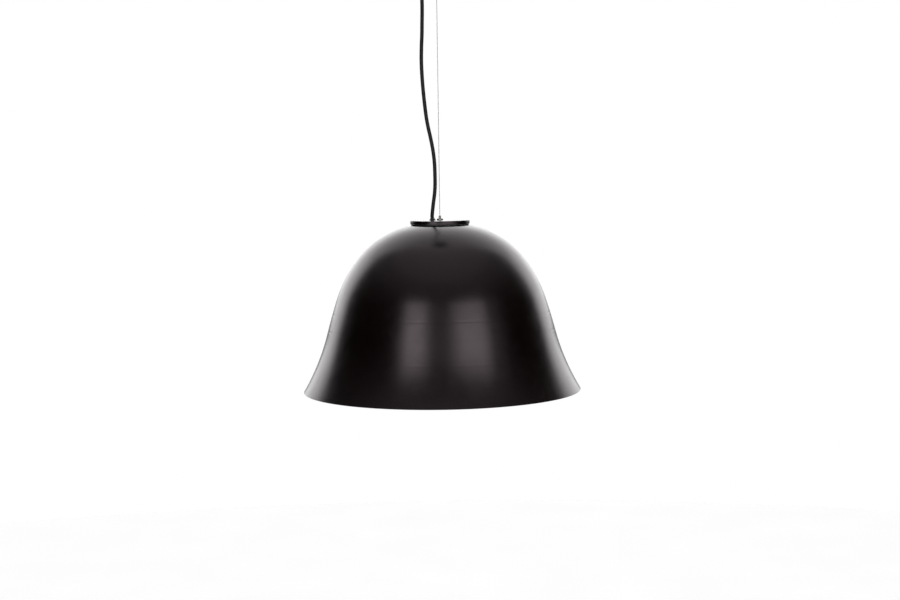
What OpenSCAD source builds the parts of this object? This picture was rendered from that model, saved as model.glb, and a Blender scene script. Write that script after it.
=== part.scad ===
// Pendant ceiling light: a spun bell shade under a round cap, hung on a steel wire
// with a push-to-release gripper and fed by a round cord from a cup canopy.
// Millimetres. +Z is up and the origin is the ceiling, on the axis of the lamp.

/* [Shade] */
// Diameter of the lip of the bell
shade_d = 450; // [380:5:520]
// Thickness of the spun sheet
shade_t = 1; // [0.8:0.1:1.4]

/* [Cap] */
// Diameter of the round cap on top of the bell
cap_d = 96; // [90:1:110]
// Thickness of the cap
cap_t = 6.8; // [6.2:0.2:9]

/* [Suspension] */
// Height of the canopy's underside over the cap
gap = 374; // [374:2:1200]
// Diameter of the suspension wire
wire_d = 1.2; // [1:0.1:1.2]
// Diameter of the power cord
cord_d = 6; // [5.6:0.1:6.2]
// How far the lamp can climb on its wire
climb = 25; // [10:1:25]
// How far the gripper's nose can be pressed
press = 1.5; // [1:0.1:1.8]

/* [Canopy] */
// Diameter of the cup under the ceiling
canopy_d = 100; // [100:1:124]
// Height of the cup
canopy_h = 28; // [28:1:40]
// Pitch of the two slots for the ceiling screws
slot_pitch = 64; // [60:1:66]

/* [Bulb] */
// Diameter of the bulb
bulb_d = 60; // [55:1:68]

/* [Hidden] */
$fn = 64;

// colours
satin_black = [0.07, 0.065, 0.065];
soft_black = [0.04, 0.04, 0.04];
nickel = [0.72, 0.71, 0.69];
zinc = [0.6, 0.62, 0.64];
brass = [0.75, 0.6, 0.3];
porcelain = [0.93, 0.92, 0.88];
opal = [0.96, 0.95, 0.92];

// heights and radii of the ceiling end
plate_t = 2;
plate_r = canopy_d / 2 - 3;
canopy_wall = 1.2;
canopy_corner = 3;
lug_x = canopy_d / 2 - 4;
lug_z = -10;
fork_pin_z = -9;
eye_pin_z = -17;
cord_x = -23.5;
grip_h = 3;
wire_hole_r = 6;
terminal_y = 25;
terminal_pitch = 7;
terminal_z = -8;

// heights under the cap's top face, which is 0 inside on_cap()
cap_z = -(canopy_h + gap);
seat_z = -cap_t;
under_shade = seat_z - shade_t;
plate_low = under_shade - 2;
screw_ring = 30;
collar_x = -12;
collar_h = 3;
strap_t = 1.5;
strap_w = 16;
arm_y = 19;
floor_z = plate_low - 73;
cup_z = floor_z - strap_t;
sleeve_z = cup_z - 26.5;
sleeve_low = sleeve_z - 31;
bulb_z = sleeve_z - 4;

// the gripper, from its nose down
nose_r = 1.95;
base_r = 4.9;
base_h = 2.8;
nose_z = base_h + 3 + press;
shank_r = 3.95;
shank_z = plate_low - 9;
ball_z = -7.5;
foot_z = -9;
// the wire's end hangs this low when the lamp has climbed as far as it can
tail_z = shank_z - 6.4 - climb;

// The bell's outline leaves the flat seat under the cap as six arcs that run on
// smoothly from each other: [radius, turn in degrees], and a negative turn flares out.
bell_arcs = [
    [60, 11.5], [151, 21.9], [136, 16.5], [208, 21.8], [950, 3.5], [380, -15.7]
];
seat_r = cap_d / 2 - 12;
lip_r = shade_d / 2;

// Where the cord leaves the cap, hangs and reaches the canopy: [x, y, height over cap]
cord_route = [
    [collar_x, 0, collar_h], [-12.5, 0, 7], [-11.5, 0, 17], [-10, 0.5, 29], [-8, 1, 43],
    [-7, 1.5, 58], [-7, 2, 76], [-7.5, 2, 93], [-9.5, 2, 112], [-13, 1, 132],
    [-17, 0, 151], [-20, -1, 170], [-23, -2, 199], [-25, -2, 226], [-26, -1.5, 254],
    [-25.5, -1, 278], [-24.5, -0.5, 297], [-24, 0, 316], [-23.5, 0, 336],
    [-23.5, 0, 354], [cord_x, 0, gap - grip_h]
];
// The cord's way through the cap to the lampholder: [x, y, height over cap]
inner_route = [
    [collar_x, 0, collar_h - 0.6], [collar_x, 0, -14], [collar_x, 0, tail_z + 20],
    [-11.6, 0, tail_z + 10], [-9.5, 0, tail_z + 2], [-6, 0, tail_z - 6],
    [-2.5, 0, tail_z - 14], [-0.4, 0, tail_z - 22], [0, 0, tail_z - 32],
    [0, 0, floor_z - 7]
];

// ---------------------------------------------------------------- functions

// A smooth curve through points: the point at part u of the stretch after point i
function knot(p, i) = p[max(0, min(len(p) - 1, i))];
function on_stretch(p, i, u) =
    let (a = knot(p, i - 1), b = knot(p, i), c = knot(p, i + 1), d = knot(p, i + 2))
    0.5 * (2 * b + (c - a) * u + (2 * a - 5 * b + 4 * c - d) * u * u
        + (3 * b - a - 3 * c + d) * u * u * u);
function smooth(p, rings) = [
    for (k = [0 : rings - 1])
        let (s = k * (len(p) - 1) / (rings - 1), i = min(floor(s), len(p) - 2))
        on_stretch(p, i, s - i)
];
function unit(v) = v / norm(v);
function heading(p, i) = unit(knot(p, i + 1) - knot(p, i - 1));

// The bell's outline from the point (r, z), with each arc drawn inset by a thickness
function arc_points(r, z, a, radius, turn, scale, inset) =
    let (
        side = turn > 0 ? 1 : -1,
        big = radius * scale,
        drawn = big - side * inset,
        cr = r - side * big * sin(a),
        cz = z - side * big * cos(a),
        steps = ceil(abs(turn) / 3)
    )
    [for (k = [1 : steps]) let (t = a + turn * k / steps)
        [cr + side * drawn * sin(t), cz + side * drawn * cos(t)]];
function arc_end(r, z, a, radius, turn, scale) =
    let (side = turn > 0 ? 1 : -1, big = radius * scale, b = a + turn)
    [r + side * big * (sin(b) - sin(a)), z + side * big * (cos(b) - cos(a))];
function outline(r, z, a, i, scale, inset) =
    i == len(bell_arcs) ? [] :
    let (arc = bell_arcs[i], next = arc_end(r, z, a, arc[0], arc[1], scale))
    concat(
        arc_points(r, z, a, arc[0], arc[1], scale, inset),
        outline(next[0], next[1], a + arc[1], i + 1, scale, inset)
    );
function bell_side(inset) =
    let (
        plain = outline(0, 0, 0, 0, 1, 0),
        scale = (lip_r - seat_r) / plain[len(plain) - 1][0]
    )
    concat([[seat_r, seat_z - inset]], outline(seat_r, seat_z, 0, 0, scale, inset));
function reversed(p) = [for (i = [len(p) - 1 : -1 : 0]) p[i]];
// Points on a circle in a profile, from angle a to angle b
function bow(x, y, r, a, b, steps = 8) =
    [for (k = [0 : steps]) let (t = a + (b - a) * k / steps) [x + r * cos(t), y + r * sin(t)]];

// ---------------------------------------------------------------- shapes

module on_cap() translate([0, 0, cap_z]) children();

// A cylinder between two heights
module post(r, low, high) translate([0, 0, low]) cylinder(r = r, h = high - low);

// A round tube that follows a list of points; across is a direction it never runs in
module tube(p, r, sides = 8, across = [0, 1, 0]) {
    ring = [for (i = [0 : len(p) - 1])
        let (t = heading(p, i), u = unit(cross(across, t)), v = cross(t, u))
        for (k = [0 : sides - 1]) let (a = 360 * k / sides)
            p[i] + r * (cos(a) * u + sin(a) * v)];
    last = (len(p) - 1) * sides;
    walls = [for (i = [0 : len(p) - 2]) for (k = [0 : sides - 1])
        let (a = i * sides + k, b = i * sides + (k + 1) % sides)
        [a, a + sides, b + sides, b]];
    lids = [[for (k = [0 : sides - 1]) k], [for (k = [sides - 1 : -1 : 0]) last + k]];
    polyhedron(points = ring, faces = concat(walls, lids), convexity = 4);
}

module hex_nut(across_flats, bore_r, low, high) {
    difference() {
        translate([0, 0, low])
            rotate([0, 0, 30])
            cylinder(r = across_flats / 2 / cos(30), h = high - low, $fn = 6);
        post(bore_r, low - 1, high + 1);
    }
}

// A pan-head screw that points up, with its head's top at z = 0 and a slot below it
module pan_screw(r, length, head_r, head_h) {
    difference() {
        union() {
            post(r, -0.01, length);
            rotate_extrude() polygon(concat(
                [[0, 0], [head_r, 0]],
                bow(head_r - 1, -head_h + 1, 1, 0, -90),
                [[0, -head_h]]
            ));
        }
        translate([-head_r, -0.4, -head_h - 1]) cube([2 * head_r, 0.8, 1 + head_h / 2]);
    }
}

// ---------------------------------------------------------------- ceiling end

module ceiling_plate() color(zinc) {
    difference() {
        union() {
            post(plate_r, -plate_t, 0);
            for (side = [-1, 1])
                translate([side * lug_x - (side > 0 ? 2 : 0), -6, -14]) cube([2, 12, 14]);
        }
        // countersink and hole for the anchor's screw
        translate([0, 0, -plate_t - 1]) cylinder(r = 2.1, h = plate_t + 2);
        translate([0, 0, -1.9]) cylinder(r1 = 2.1, r2 = 4.1, h = 2);
        // slots for the ceiling screws
        for (side = [-1, 1]) translate([side * slot_pitch / 2, 0, -plate_t - 1]) {
            for (end = [-1, 1]) translate([end * 2.25, 0, 0]) cylinder(r = 2.25, h = plate_t + 2);
            translate([-2.25, -2.25, 0]) cube([4.5, 4.5, plate_t + 2]);
        }
        // way in for the house's cable, and the terminal block's screw
        translate([0, -26, -plate_t - 1]) cylinder(r = 7, h = plate_t + 2);
        translate([terminal_pitch / 2, terminal_y, -plate_t - 1]) cylinder(r = 1.25, h = plate_t + 2);
        // threads for the canopy's side screws
        for (side = [0, 180]) rotate([0, 0, side])
            translate([lug_x - 3, 0, lug_z]) rotate([0, 90, 0]) cylinder(r = 1.5, h = 4);
    }
}

module anchor_screw() color(zinc) {
    difference() {
        union() {
            post(1.95, -5.1, -1.9);
            translate([0, 0, -1.9]) cylinder(r1 = 1.95, r2 = 3.85, h = 1.9);
        }
        translate([0, 0, -1.3]) cylinder(r = 1.4, h = 2, $fn = 6);
    }
}

// A fork under the plate, whose cheeks hold a pin along X
module anchor_fork() color(zinc) {
    difference() {
        translate([-6, -4, -13]) cube([12, 8, 13 - plate_t]);
        translate([-3.3, -5, -14]) cube([6.6, 10, 9]);
        post(2, -6, -1);
        translate([-7, 0, fork_pin_z]) rotate([0, 90, 0]) cylinder(r = 1.5, h = 14);
    }
}

module anchor_pin() color(nickel)
    translate([-6.5, 0, fork_pin_z]) rotate([0, 90, 0]) cylinder(r = 1.5, h = 13);

module canopy_cover() color(satin_black) {
    r = canopy_d / 2;
    c = canopy_corner;
    w = canopy_wall;
    difference() {
        rotate_extrude($fn = 128) polygon(concat(
            [[0, -canopy_h]],
            bow(r - c, -canopy_h + c, c, -90, 0),
            [[r, 0], [r - w, 0]],
            reversed(bow(r - c, -canopy_h + c, c - w, -90, 0)),
            [[0, -canopy_h + w]]
        ));
        post(wire_hole_r + 1, -canopy_h - 1, -canopy_h + w + 1);
        translate([cord_x, 0, 0]) post(5.05, -canopy_h - 1, -canopy_h + w + 1);
        for (side = [0, 180]) rotate([0, 0, side])
            translate([r - 4, 0, lug_z]) rotate([0, 90, 0]) cylinder(r = 1.6, h = 6);
    }
}

module canopy_screws() color(satin_black) {
    for (side = [0, 180]) rotate([0, 0, side])
        translate([canopy_d / 2, 0, lug_z]) rotate([0, -90, 0]) pan_screw(1.45, 6.5, 2.7, 1.8);
}

module wire_bush() color(soft_black) {
    difference() {
        union() {
            post(wire_hole_r + 2.4, -canopy_h - 1.2, -canopy_h);
            post(wire_hole_r + 0.95, -canopy_h - 1.2, -canopy_h + canopy_wall + 1);
        }
        post(wire_hole_r, -canopy_h - 2, -canopy_h + canopy_wall + 2);
    }
}

module cord_grip() color(soft_black) translate([cord_x, 0, 0]) {
    difference() {
        union() {
            translate([0, 0, -canopy_h - grip_h]) cylinder(r1 = 4.1, r2 = 6.4, h = grip_h);
            post(4.95, -canopy_h - 0.01, -canopy_h + 8);
        }
        post(cord_d / 2 + 0.05, -canopy_h - grip_h - 1, -canopy_h + 9);
    }
}

module cord_grip_nut() color(soft_black) translate([cord_x, 0, 0])
    hex_nut(13, 5, -canopy_h + canopy_wall, -canopy_h + canopy_wall + 3);

// The sheathed end of the cord inside the canopy
module cord_tail() color(soft_black) translate([cord_x, 0, 0])
    post(cord_d / 2, -canopy_h - grip_h, -canopy_h + 11);

// Three cores from the cord's end to the terminal block
module supply_leads() {
    colours = ["saddlebrown", "gold", "royalblue"];
    for (k = [-1 : 1]) {
        start = [cord_x + 1.5 * k, k == 0 ? 1.3 : -0.9, -canopy_h + 11.4];
        x = terminal_pitch * k;
        color(colours[k + 1]) tube(smooth([
            start, start + [0, 0, 2], start + [2 + 2 * k, 4, 4 - k],
            [-14 + 3 * k, 11 - 2 * k, terminal_z - 2 - k], [x - 3, 13 - k, terminal_z - 0.4],
            [x, 15.4, terminal_z], [x, terminal_y - 7, terminal_z]
        ], 19), 0.7, 8, [1, -0.6, 0.4]);
    }
}

module terminal_block() color(porcelain) {
    difference() {
        union() for (k = [-1 : 1]) translate([terminal_pitch * k, terminal_y, 0]) {
            translate([-terminal_pitch / 2, -5, -plate_t - 11.5]) cube([terminal_pitch, 10, 11.5]);
            translate([0, 8, terminal_z]) rotate([90, 0, 0]) cylinder(r = 3.1, h = 16);
        }
        for (k = [-1 : 1]) translate([terminal_pitch * k, terminal_y, 0]) {
            translate([0, 9, terminal_z]) rotate([90, 0, 0]) cylinder(r = 2.05, h = 18);
            for (y = [-2.8, 2.8]) translate([0, y, -plate_t - 13]) cylinder(r = 1.4, h = 7);
        }
        translate([terminal_pitch / 2, terminal_y, -plate_t - 13]) cylinder(r = 1.3, h = 14);
    }
}

module terminal_tubes() color(brass) {
    for (k = [-1 : 1]) translate([terminal_pitch * k, terminal_y, terminal_z]) {
        difference() {
            rotate([90, 0, 0]) translate([0, 0, -6]) cylinder(r = 2, h = 12);
            rotate([90, 0, 0]) translate([0, 0, -7]) cylinder(r = 1.2, h = 14);
            for (y = [-2.8, 2.8]) translate([0, y, -4]) cylinder(r = 1.25, h = 4);
        }
    }
}

module terminal_screws() color(zinc) {
    for (k = [-1 : 1]) for (y = [-2.8, 2.8])
        translate([terminal_pitch * k, terminal_y + y, 0]) difference() {
            post(1.2, -plate_t - 10.6, terminal_z - 1);
            translate([-2, -0.25, -plate_t - 11]) cube([4, 0.5, 1]);
        }
}

module terminal_fixing_screw() color(zinc) translate([terminal_pitch / 2, terminal_y, 0])
    translate([0, 0, -plate_t - 11.5]) pan_screw(1.2, 12.5, 2.4, 1.6);

// The free cord between the cap and the canopy
module power_cord() color(soft_black) on_cap() tube(smooth(cord_route, 61), cord_d / 2);

// ---------------------------------------------------------------- swivel

// A block that rocks on the fork's pin and holds its own pin along Y for the wire's eye
module toggle_link() color(nickel) {
    difference() {
        union() {
            translate([-3, 0, fork_pin_z]) rotate([0, 90, 0]) cylinder(r = 3.2, h = 6);
            translate([-3, -3.2, -13.5]) cube([6, 6.4, 13.5 + fork_pin_z]);
            translate([0, 3.4, eye_pin_z]) rotate([90, 0, 0]) cylinder(r = 3, h = 6.8);
            translate([-3, -3.4, eye_pin_z]) cube([6, 6.8, 4.5]);
        }
        translate([-4, 0, fork_pin_z]) rotate([0, 90, 0]) cylinder(r = 1.56, h = 8);
        translate([-4, -1.6, -21]) cube([8, 3.2, 8]);
        translate([0, 5, eye_pin_z]) rotate([90, 0, 0]) cylinder(r = 1, h = 10);
    }
}

module toggle_pin() color(nickel)
    translate([0, 3.4, eye_pin_z]) rotate([90, 0, 0]) cylinder(r = 1, h = 6.8);

// ---------------------------------------------------------------- wire

module wire_eye() color(nickel) {
    difference() {
        union() {
            translate([0, 1.3, eye_pin_z]) rotate([90, 0, 0]) cylinder(r = 2.8, h = 2.6);
            translate([-1.3, -1.3, -20.5]) cube([2.6, 2.6, 3]);
            post(1.6, -24, -20);
        }
        translate([0, 3, eye_pin_z]) rotate([90, 0, 0]) cylinder(r = 1.05, h = 6);
        post(wire_d / 2, -25, -20.5);
    }
}

module suspension_wire() color(zinc)
    post(wire_d / 2, cap_z + tail_z + climb + 0.4, -20.5);

// A crimped sleeve that keeps the wire's strands together under the gripper
module wire_ferrule() color(nickel) on_cap() {
    difference() {
        post(0.95, tail_z + climb, tail_z + climb + 4);
        post(wire_d / 2, tail_z + climb + 0.4, shank_z);
    }
}

// ---------------------------------------------------------------- cap and shade

module cap_disc() color(satin_black) on_cap() {
    r = cap_d / 2;
    difference() {
        rotate_extrude($fn = 128) polygon(concat(
            [[0, -cap_t]],
            bow(r - 1, -cap_t + 1, 1, -90, 0, 4),
            bow(r - 1.6, -1.6, 1.6, 0, 90, 6),
            [[0, 0]]
        ));
        post(shank_r + 0.05, -cap_t - 1, 1);
        translate([collar_x, 0, 0]) post(4, -cap_t - 1, 1);
        for (a = [0 : 90 : 270]) rotate([0, 0, a])
            translate([screw_ring, 0, 0]) post(2, -cap_t - 1, -2.4);
    }
}

module shade() color(satin_black) on_cap() {
    difference() {
        rotate_extrude($fn = 180) polygon(concat(
            [[0, seat_z]], bell_side(0), reversed(bell_side(shade_t)), [[0, under_shade]]
        ));
        post(shank_r + 0.05, under_shade - 1, seat_z + 1);
        translate([collar_x, 0, 0]) post(4, under_shade - 1, seat_z + 1);
        for (a = [0 : 90 : 270]) rotate([0, 0, a])
            translate([screw_ring, 0, 0]) post(2.2, under_shade - 1, seat_z + 1);
    }
}

// A steel disc inside the bell; the screws pull it up against the cap
module clamp_plate() color(zinc) on_cap() {
    difference() {
        post(seat_r - 1, plate_low, under_shade);
        post(shank_r + 0.05, plate_low - 1, under_shade + 1);
        translate([collar_x, 0, 0]) post(4, plate_low - 1, under_shade + 1);
        for (a = [0 : 90 : 270]) rotate([0, 0, a])
            translate([screw_ring, 0, 0]) post(2.2, plate_low - 1, under_shade + 1);
    }
}

// Two screws hold the clamp plate alone, and two hold the strap's feet with it
module clamp_screws() color(zinc) on_cap() {
    for (a = [0 : 90 : 270]) {
        low = a % 180 == 0 ? plate_low : plate_low - strap_t;
        rotate([0, 0, a]) translate([screw_ring, 0, low]) pan_screw(1.95, -2.6 - low, 4, 2.6);
    }
}

// ---------------------------------------------------------------- wire gripper

module gripper_body() color(nickel) on_cap() {
    difference() {
        rotate_extrude() polygon([
            [0, shank_z], [shank_r, shank_z], [shank_r, 0], [base_r, 0],
            [base_r, base_h - 0.6], [base_r - 0.6, base_h], [0, base_h]
        ]);
        post(nose_r + 0.05, -5, base_h + 1);
        // the cone that wedges the balls against the wire, and the spring's chamber
        translate([0, 0, -11]) cylinder(r1 = 2.9, r2 = nose_r + 0.05, h = 6);
        post(2.9, shank_z - 1, -11);
    }
}

module gripper_plug() color(nickel) on_cap() {
    difference() {
        post(2.85, shank_z - 0.8, shank_z + 1.4);
        post(0.9, shank_z - 2, shank_z + 3);
        translate([-4, -0.4, shank_z - 1.8]) cube([8, 0.8, 1.6]);
    }
}

module gripper_nut() color(zinc) on_cap() hex_nut(13, 4, plate_low - 4, plate_low);

module gripper_plunger() color(nickel) on_cap() {
    difference() {
        rotate_extrude() polygon(concat(
            [[0, foot_z - 1.2], [2.4, foot_z - 1.2], [2.4, foot_z], [nose_r, foot_z]],
            bow(nose_r - 0.6, nose_z - 0.6, 0.6, 0, 90, 4),
            [[0, nose_z]]
        ));
        post(0.75, foot_z - 2, nose_z + 1);
        for (a = [0 : 120 : 240]) rotate([0, 0, a])
            translate([0, 0, ball_z]) rotate([0, 90, 0]) cylinder(r = 0.85, h = 3);
    }
}

module gripper_balls() color(zinc) on_cap() {
    for (a = [0 : 120 : 240]) rotate([0, 0, a])
        translate([1.42, 0, ball_z]) sphere(r = 0.75, $fn = 32);
}

module gripper_spring() color(zinc) on_cap() {
    turns = 5;
    low = shank_z + 1.4 + 0.25;
    rise = foot_z - 1.2 - 0.25 - low;
    coil = [for (k = [0 : 12 * turns]) let (s = k / (12 * turns), a = 360 * turns * s)
        [2.1 * cos(a), 2.1 * sin(a), low + rise * s]];
    tube(coil, 0.25, 8, [0, 0, 1]);
}

// ---------------------------------------------------------------- cord entry

// The flared bush that the cord enters the cap by
module cord_collar() color(soft_black) on_cap() translate([collar_x, 0, 0]) {
    difference() {
        rotate_extrude() polygon(concat(
            [[0, plate_low], [3.95, plate_low], [3.95, 0], [5.4, 0], [5.4, 0.7]],
            bow(6.3, 2.9, 2.4, 246, 182, 5),
            [[3.7, collar_h], [0, collar_h]]
        ));
        post(cord_d / 2 + 0.05, plate_low - 1, collar_h + 1);
    }
}

// The block under the clamp plate that takes the cord's pull
module cord_clamp() color(soft_black) on_cap() {
    difference() {
        translate([collar_x - 5, -8, plate_low - 9]) cube([9.8, 16, 9]);
        translate([collar_x, 0, 0]) post(cord_d / 2 + 0.02, plate_low - 10, plate_low + 1);
        for (y = [-5.6, 5.6]) translate([collar_x - 6, y, plate_low - 5])
            rotate([0, 90, 0]) cylinder(r = 1, h = 6);
    }
}

// The cord inside the lamp, from the collar's top to the lampholder
module inner_cord() color(soft_black) on_cap() tube(smooth(inner_route, 25), cord_d / 2 - 0.02);

// ---------------------------------------------------------------- lampholder

// A bent strap: its feet hang from the clamp plate and its floor carries the holder
module holder_bracket() color(zinc) on_cap() {
    bend = 4;
    out = arm_y + strap_t;
    half = concat(
        [[0, floor_z - strap_t]],
        bow(out - bend, floor_z - strap_t + bend, bend, -90, 0, 5),
        reversed(bow(out + bend - strap_t, plate_low - bend, bend - strap_t, 90, 180, 5)),
        [[38, plate_low - strap_t], [38, plate_low]],
        bow(out + bend - strap_t, plate_low - bend, bend, 90, 180, 5),
        reversed(bow(arm_y - bend + strap_t, floor_z + bend - strap_t, bend - strap_t, -90, 0, 5)),
        [[0, floor_z]]
    );
    difference() {
        for (side = [0, 180]) rotate([0, 0, side])
            translate([-strap_w / 2, 0, 0]) rotate([90, 0, 90])
            linear_extrude(strap_w) polygon(half);
        post(5.05, floor_z - strap_t - 1, floor_z + 1);
        for (side = [-1, 1]) translate([0, side * screw_ring, 0])
            post(2.2, plate_low - strap_t - 1, plate_low + 1);
    }
}

module holder_nipple() color(zinc) on_cap() {
    difference() {
        post(5, floor_z - 12, floor_z + 6);
        post(3.5, floor_z - 13, floor_z + 7);
    }
}

module nipple_nuts() color(zinc) on_cap() {
    hex_nut(14, 5.03, floor_z, floor_z + 3.5);
    hex_nut(14, 5.03, cup_z - 5.1, cup_z - 1.6);
}

// The lampholder's domed top, which the nipple hangs by
module holder_cup() color(soft_black) on_cap() {
    difference() {
        rotate_extrude() polygon(concat(
            [[0, cup_z - 1.6], [9, cup_z - 1.6]],
            reversed(bow(9, sleeve_z + 12, 9.4, 0, 90, 8)),
            [[18.4, sleeve_z], [20, sleeve_z], [20, sleeve_z + 12]],
            bow(9, sleeve_z + 12, 11, 0, 90, 8),
            [[9, cup_z], [0, cup_z]]
        ));
        post(5.05, cup_z - 3, cup_z + 1);
    }
}

// The lampholder's lower casing, threaded outside for a shade ring
module holder_sleeve() color(soft_black) on_cap() {
    threads = 7;
    pitch = 3;
    top = sleeve_z - 3;
    rotate_extrude() polygon(concat(
        [[18.2, sleeve_low], [18.2, sleeve_z], [20, sleeve_z]],
        [[20, top]],
        [for (k = [0 : threads - 1]) each [
            [19.2, top - pitch * k - 0.8], [19.2, top - pitch * k - 1.4],
            [20, top - pitch * k - 2.2], [20, top - pitch * k - 3]
        ]],
        [[20, sleeve_low]]
    ));
}

// The ring on the casing's thread
module holder_ring() color(soft_black) on_cap() {
    difference() {
        rotate_extrude() polygon([
            [20.1, sleeve_low + 1], [24, sleeve_low + 1], [24.5, sleeve_low + 1.5],
            [24.5, sleeve_low + 4], [22.5, sleeve_low + 6], [20.1, sleeve_low + 6]
        ]);
        for (a = [0 : 30 : 330]) rotate([0, 0, a])
            translate([25.1, 0, 0]) post(1.2, sleeve_low, sleeve_low + 7);
    }
}

module porcelain_insert() color(porcelain) on_cap() {
    difference() {
        union() {
            post(17.8, sleeve_z, sleeve_z + 8);
            post(12.5, sleeve_z + 4, sleeve_z + 11);
        }
        for (side = [-1, 1]) translate([side * 9, 0, 0]) post(2.4, sleeve_z - 1, sleeve_z + 12);
        post(1.3, sleeve_z - 1, sleeve_z + 12);
    }
}

// The brass thread that the bulb screws into, drawn at the thread's mean bore
module screw_shell() color(brass) on_cap() {
    rotate_extrude() polygon([
        [13.6, sleeve_z - 22], [13.6, sleeve_z - 0.6], [11, sleeve_z - 0.6],
        [11, sleeve_z], [14, sleeve_z], [14, sleeve_z - 22]
    ]);
}

module centre_contact() color(brass) on_cap() {
    post(1.25, sleeve_z - 0.6, sleeve_z + 9);
    translate([-4, -2.2, sleeve_z - 1]) cube([8, 4.4, 0.5]);
    translate([0, 0, sleeve_z - 3.2]) cylinder(r1 = 1.6, r2 = 2.1, h = 2.3);
}

module holder_terminals() color(brass) on_cap() {
    for (side = [-1, 1]) translate([side * 9, 0, 0]) {
        difference() {
            union() {
                post(2.3, sleeve_z + 0.1, sleeve_z + 11.5);
                translate([-2.6, -3, sleeve_z + 11.1]) cube([5.2, 6, 2.4]);
            }
            translate([0, 0, sleeve_z + 12.3]) rotate([90, 0, 0]) translate([0, 0, -4])
                cylinder(r = 0.9, h = 8);
        }
    }
}

// Two cores from the cord's end to the lampholder's terminals
module holder_leads() {
    cord_end = floor_z - 7;
    for (side = [-1, 1]) color(side > 0 ? "saddlebrown" : "royalblue") on_cap()
        tube(smooth([
            [side * 1.5, 0, cord_end - 0.3], [side * 1.5, 0, cord_end - 3],
            [side * 2, -0.6, floor_z - 12.4], [side * 5, -4, sleeve_z + 13.6],
            [side * 8.4, -4.9, sleeve_z + 12.3], [side * 9, -3.6, sleeve_z + 12.3],
            [side * 9, -1, sleeve_z + 12.3]
        ], 19), 0.75, 8, [side, 0.45, 0.1]);
}

// ---------------------------------------------------------------- bulb

// The opal globe runs into its neck by one concave arc
module bulb_globe() color(opal) on_cap() {
    ball = bulb_d / 2;
    neck_r = 14;
    flare = 40;
    wall = 1;
    neck_z = bulb_z - 30;
    lean = acos((neck_r + flare) / (ball + flare));
    ball_z = neck_z - (ball + flare) * sin(lean);
    rotate_extrude($fn = 96) polygon(concat(
        [[neck_r, bulb_z - 24.5]],
        reversed([for (k = [0 : 8]) let (a = lean * (8 - k) / 8)
            [neck_r + flare - flare * cos(a), neck_z - flare * sin(a)]]),
        [for (k = [1 : 24]) let (a = lean - (lean + 90) * k / 24)
            [ball * max(0, cos(a)), ball_z + ball * sin(a)]],
        [for (k = [24 : -1 : 1]) let (a = lean - (lean + 90) * k / 24)
            [(ball - wall) * max(0, cos(a)), ball_z + (ball - wall) * sin(a)]],
        [for (k = [8 : -1 : 0]) let (a = lean * k / 8)
            [neck_r + flare - (flare + wall) * cos(a), neck_z - (flare + wall) * sin(a)]],
        [[neck_r - wall, bulb_z - 24.5]]
    ));
}

// The bulb's screw cap, drawn at the thread's crests
module bulb_cap() color(nickel) on_cap() {
    rotate_extrude() polygon([
        [9, bulb_z - 1.6], [12.2, bulb_z - 1.6], [13.1, bulb_z - 3], [13.1, bulb_z - 24.5],
        [12.7, bulb_z - 24.5], [12.7, bulb_z - 3.2], [12, bulb_z - 2], [9, bulb_z - 2]
    ]);
}

module bulb_insulator() color(soft_black) on_cap() {
    difference() {
        union() {
            translate([0, 0, bulb_z - 1.6]) cylinder(r1 = 9, r2 = 5.5, h = 1.6);
            post(8.9, bulb_z - 4, bulb_z - 1.6);
        }
        post(2.6, bulb_z - 1.2, bulb_z + 1);
    }
}

module bulb_contact() color(nickel) on_cap() {
    post(2.5, bulb_z - 1.2, bulb_z);
    post(4.6, bulb_z, bulb_z + 0.5);
}

// The light source in the bulb's neck: a board with its chips facing down
module bulb_led_board() color(porcelain) on_cap() {
    low = bulb_z - 30;
    post(11.5, low, low + 1.6);
    for (a = [0 : 45 : 315]) rotate([0, 0, a])
        translate([7, -1.4, low - 0.7]) cube([2.8, 2.8, 0.71]);
    post(7, low + 1.59, low + 24);
}

ceiling_plate();
anchor_screw();
anchor_fork();
anchor_pin();
canopy_cover();
canopy_screws();
wire_bush();
cord_grip();
cord_grip_nut();
cord_tail();
supply_leads();
terminal_block();
terminal_tubes();
terminal_screws();
terminal_fixing_screw();
power_cord();
toggle_link();
toggle_pin();
wire_eye();
suspension_wire();
wire_ferrule();
cap_disc();
shade();
clamp_plate();
clamp_screws();
gripper_body();
gripper_plug();
gripper_nut();
cord_collar();
cord_clamp();
inner_cord();
holder_bracket();
holder_nipple();
nipple_nuts();
holder_cup();
holder_sleeve();
holder_ring();
porcelain_insert();
screw_shell();
centre_contact();
holder_terminals();
holder_leads();
gripper_plunger();
gripper_balls();
gripper_spring();
bulb_globe();
bulb_cap();
bulb_insulator();
bulb_contact();
bulb_led_board();
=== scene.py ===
import math

import bmesh
import bpy
from mathutils import Matrix, Vector


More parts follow.
